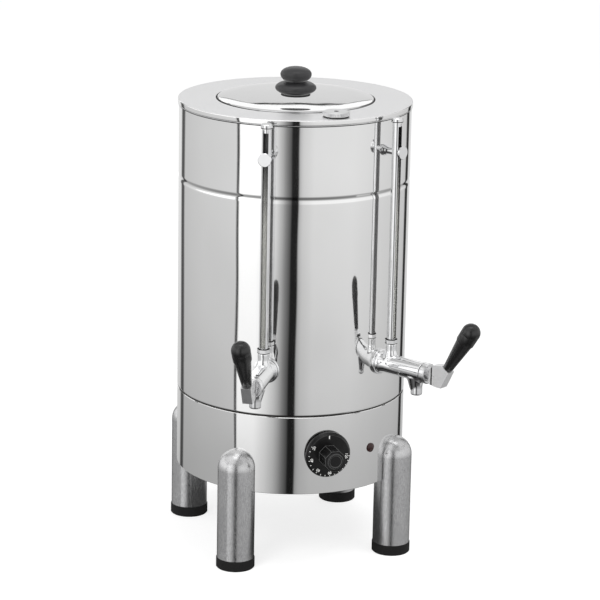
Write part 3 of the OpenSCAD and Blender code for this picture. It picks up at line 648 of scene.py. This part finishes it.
black_plastic = finish("black_phenolic", black_recipe, Specular_IOR_Level=0.55)
satin_block = finish("satin_block", block_recipe, Metallic=1.0)
for side, turn in turns.items():
    lever = edged(side + "_lever_block", side + "_tap_lever", lever_edge)
    lever.data.materials.append(satin_block)
    lever.data.materials.append(chrome)
    lever.modifiers["eased_edges"].material = 1
    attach(lever, side + "_lever")
    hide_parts(side + "_tap_lever")
    dress(chrome, side + "_lever_pin")
    handle_cap = arc(0, handle_cap_z, handle_cap_r, handle_cap_r, range(-4, 88, 4))
    handle = spun(side + "_handle", handle_stalk + handle_cap + [(0, handle_cap_z + handle_cap_r)],
                  steps=64, crease=50)
    handle.data.transform(Matrix.Rotation(turn, 4, "Z")
                          @ Matrix.Translation((0, -handle_u * mm, handle_z * mm))
                          @ Matrix.Rotation(handle_tilt, 4, "X"))
    handle.data.materials.append(black_plastic)
    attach(handle, side + "_lever")
    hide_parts(side + "_tap_handle")


# The gauges: glass tubes that stand in the taps, inside slotted plated guards with turned caps,
# held to the body by small brackets and screws. The guards are painted dark inside and dull along
# the back strip, a painted shade seen through the slot; the glass is pale up to the water line, and
# a thin band at each seam of the nuts and caps is painted darker.
water_low, water_high = 400, 470
guard_bore_r, guard_back_half = 4.3, 3
nut_low, nut_high = (corner.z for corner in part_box("gauge_nuts"))
cap_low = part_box("left_gauge_cap")[0].z
nut_seams = ((nut_low - mm, nut_low + 0.7 * mm), (nut_high - 0.6 * mm, nut_high + mm))
cap_seams = ((cap_low + 4.9 * mm, cap_low + 5.8 * mm),)


def glass_recipe(spot):
    scale = grain(spot, (300, 300, 60), detail=4)
    dry = spot.axis("Z").eased(water_low * mm, water_high * mm)
    return {"Base_Color": tint(spot, dry, (0.84, 0.84, 0.80), (0.06, 0.06, 0.06)),
            "Roughness": 0.05 + 0.16 * scale}


# Darkens a thin band at each seam of the nuts and caps.
def seamed(seams):
    def recipe(spot):
        up = spot.axis("Z")
        return soiled(spot, chrome_recipe(spot), sum(up.within(low, high) for low, high in seams))
    return recipe


def guard_recipe(spot):
    beside = abs(spot.axis("X")) * cos(tap_turn) + spot.axis("Y") * sin(tap_turn)
    along = reach(spot) - gauge_u * mm
    # Inside the guard and along its back strip, seen through the slot, the chrome is painted dark: painted
    # shade.
    bore_shade = beside * beside + along * along < (guard_bore_r * mm) ** 2
    back = (along < 0) * (abs(beside) < guard_back_half * mm)
    return soiled(spot, chrome_recipe(spot), spot.maths("MAXIMUM", 0.8 * bore_shade, 0.68 * back))


dark_bored = finish("dark_bored", guard_recipe, Metallic=1.0)
glass = finish("gauge_tube", glass_recipe, Transmission_Weight=0.75, IOR=1.47)
seamed_cap = finish("seamed_cap", seamed(cap_seams), Metallic=1.0)
for side in turns:
    dress(glass, side + "_gauge_glass")
    dress(dark_bored, side + "_gauge_guard")
    dress(chrome, side + "_gauge_bracket")
    dress(seamed_cap, side + "_gauge_cap")
dress(finish("seamed_nut", seamed(nut_seams), Metallic=1.0), "gauge_nuts")
dress(chrome, "gauge_screws")


# The lid: a disc pressed from thin polished sheet, very slightly domed and never quite even,
# with its edge turned down outside and a skirt that drops into the pot.
lid_top, lid_r = 515.4, 87
lid_skirt_r, lid_skirt_in, lid_skirt_low = 81.4, 80.4, -12.2
lid_falls = ((0, 0), (70, 1.14), (74, 2.0), (78, 3.2), (82, 5.0), (85, 7.0))
lid_steps = 8


def lid_recipe(spot):
    dent = grain(spot, (15, 11, 11), detail=1.5)
    smear = grain(spot, 40, detail=4)
    return {"Base_Color": tint(spot, smear, (0.87, 0.87, 0.87), (0.91, 0.91, 0.91)),
            "Roughness": 0.012 + 0.03 * smear,
            "Normal": relief(spot, dent, 0.00022, 0.9)}


def on_lid(outline):
    return [(r, lid_top + z) for r, z in outline]


lid_panel = [(0, 0)]
for (near, fall), (far, next_fall) in zip(lid_falls, lid_falls[1:]):
    stride = (far - near) / lid_steps
    for i in range(lid_steps):
        slope = tan(radians(fall + (next_fall - fall) * (i + 0.5) / lid_steps))
        lid_panel.append((near + stride * (i + 1), lid_panel[-1][1] - slope * stride))
lid_edge = [(86.3, -1.95), (lid_r, -2.5), (lid_r, -3), (86.4, -3.05), (86.1, -2.75), (85, -2.45)]
lid_under = [(lid_skirt_r, -2.2), (lid_skirt_r, lid_skirt_low), (lid_skirt_in, lid_skirt_low),
             (lid_skirt_in, -2), (42, -1.2), (0, -1)]
lid = spun("lid_pressing", on_lid(lid_panel + lid_edge + lid_under))
lid.data.materials.append(finish("polished_lid", lid_recipe, Metallic=1.0))
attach(lid, "lid")
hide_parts("lid")


# The lid's knob: a flat disc with a smaller flattened ball on it, moulded in one from black
# phenolic, with a faint bloom on its matt skin. A screw from below holds it. Its lower half and
# the screw are kept out of the mirrors.
foot_top = 1.2
knob_foot = [(0, 0), (16.3, 0), (16.5, 0.3), (16.4, 0.8), (16, 1.1), (13.6, foot_top)]
disc_z, disc_r, disc_half = 8.4, 23, 8.5
knob_neck = [(12, 15.8), (11.8, 16.2)]
ball_z, ball_r, ball_half = 23.6, 17.5, 8.4


def knob_recipe(spot):
    fine = grain(spot, 1400, detail=2)
    bloom = grain(spot, 55, detail=5)
    # The foot under the disc is painted near black and matt: a painted contact shadow under the knob.
    foot = spot.axis("Z") < (lid_top + foot_top) * mm
    skin = tint(spot, bloom, (0.016, 0.016, 0.017), (0.030, 0.0295, 0.031))
    return {"Base_Color": tint(spot, foot, skin, (0.003, 0.003, 0.003)),
            "Roughness": 0.30 + 0.1 * fine + 0.08 * bloom + 0.3 * foot,
            "Normal": relief(spot, fine, 0.00005, 0.4)}


bloomed = finish("bloomed_phenolic", knob_recipe)
disc = arc(0, disc_z, disc_r, disc_half, range(-53, 57, 3))
ball_under = arc(0, ball_z, ball_r, ball_half, range(-55, 1, 5), swell=0.6)
ball_over = arc(0, ball_z, ball_r, ball_half, range(0, 88, 3), swell=0.85)
knob = spun("knob_moulding", on_lid(knob_foot + disc + knob_neck + ball_under + [(0, ball_z)]), steps=128)
knob.visible_glossy = False
nodes["lid_knob_screw"].visible_glossy = False
ball = spun("knob_ball", on_lid([(0, ball_z)] + ball_over + [(0, ball_z + ball_half)]), steps=128)
for part in (knob, ball):
    part.data.materials.append(bloomed)
    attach(part, "lid")
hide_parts("lid_knob")


# The thermostat's dial: a black moulded disc, its eight-sided grip's edges worn and painted a lighter
# grey as a highlight, and on its face a white index and degrees printed round the rim, read against the top.
dial_face, dial_z, dial_edge, grip_r = -138.0, 136.5, 0.5, 16
first_turn, numeral_step, numeral_out, numeral_size = 60, 41, 20.2, 4.3
ink_off, ink_deep, ink_spread = 0.04, 0.06, 0.06
ticks, ticks_each = 16, 3


# The grip's edges are painted a lighter grey: partly wear, partly a painted highlight.
def rubbed_recipe(spot):
    worn = grain(spot, 500, detail=4)
    grip = away(spot, (0, 0, dial_z * mm), (1, 0, 1)) < grip_r * mm
    return {"Base_Color": tint(spot, grip * (0.3 + worn), (0.008, 0.008, 0.008), (0.085, 0.085, 0.085)),
            "Roughness": 0.30 + 0.15 * worn}


def paint_recipe(spot):
    worn = grain(spot, 700, detail=4)
    return {"Base_Color": tint(spot, worn, (0.70, 0.70, 0.68), (0.95, 0.95, 0.93)),
            "Roughness": 0.45 + 0.2 * worn}


def on_dial(turn, out):
    return (Matrix.Translation((0, (dial_face - ink_off) * mm, dial_z * mm))
            @ Matrix.Rotation(radians(-turn), 4, "Y") @ Matrix.Translation((0, 0, out * mm))
            @ Matrix.Rotation(pi / 2, 4, "X"))


dial = edged("dial_moulding", "dial_knob", dial_edge)
dial.data.materials.append(finish("dial_phenolic", black_recipe, Specular_IOR_Level=0.2))
dial.data.materials.append(finish("rubbed_sheen_edges", rubbed_recipe))
dial.modifiers["eased_edges"].material = 1
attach(dial, "dial")
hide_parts("dial_knob")
printing = bmesh.new()
for step, degrees in enumerate((20, 40, 60, 80, 100, 120)):
    letters = bpy.data.curves.new("numeral", "FONT")
    letters.body = str(degrees)
    letters.align_x = "CENTER"
    letters.align_y = "CENTER"
    letters.size = numeral_size * mm
    letters.offset = ink_spread * mm
    letters.extrude = ink_deep / 2 * mm
    letters.resolution_u = 3
    writer = bpy.data.objects.new("numeral", letters)
    bpy.context.collection.objects.link(writer)
    bpy.context.view_layer.update()
    drawn = bpy.data.meshes.new_from_object(writer.evaluated_get(bpy.context.evaluated_depsgraph_get()))
    drawn.transform(on_dial(first_turn + numeral_step * step, numeral_out))
    printing.from_mesh(drawn)
    bpy.data.objects.remove(writer)
    bpy.data.curves.remove(letters)
    bpy.data.meshes.remove(drawn)
index = (0, 21.2, 3.6, 1.2)
scale_ticks = [(first_turn + numeral_step / ticks_each * i, 23.4, 1.6, 0.6) for i in range(ticks)]
for turn, out, tall, wide in [index] + scale_ticks:
    bmesh.ops.create_cube(printing, size=1, matrix=on_dial(turn, out) @ Matrix.Diagonal(
        (wide * mm, tall * mm, ink_deep * mm, 1)))
print_piece = piece("dial_print", printing, 30)
print_piece.data.materials.append(finish("white_print", paint_recipe))
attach(print_piece, "dial")


# The pilot lamp beside the dial: a small dark red lens of moulded plastic, put in from the front
# and held by a nut behind the skirt.
def lens_recipe(spot):
    depth = grain(spot, 260, detail=3)
    return {"Base_Color": tint(spot, depth, (0.012, 0.003, 0.003), (0.040, 0.007, 0.006)),
            "Roughness": 0.12 + 0.1 * depth}


dress(finish("red_lens", lens_recipe, Specular_IOR_Level=0.35, Coat_Weight=0.2, Coat_Roughness=0.05),
      "lamp_lens")


# The cord entry at the back: a gland moulded from the same black plastic as the handles, held by
# its lock nut inside the base.
dress(black_plastic, "cable_gland", "gland_nut")


# The fixings: steel screws, nuts and the dial's spindle, all zinc plated, with the faint spangle
# of the plating bath.
def zinc_recipe(spot):
    spangle = grain(spot, 420, detail=4)
    return {"Base_Color": tint(spot, spangle, (0.52, 0.53, 0.54), (0.70, 0.70, 0.69)),
            "Roughness": 0.28 + 0.18 * spangle,
            "Normal": relief(spot, spangle, 0.00004, 0.4)}


dress(finish("zinc_plate", zinc_recipe, Metallic=1.0), "base_cover_screws", "leg_screws", "lid_knob_screw",
      "lamp_nut", "thermostat_nut", "dial_spindle")
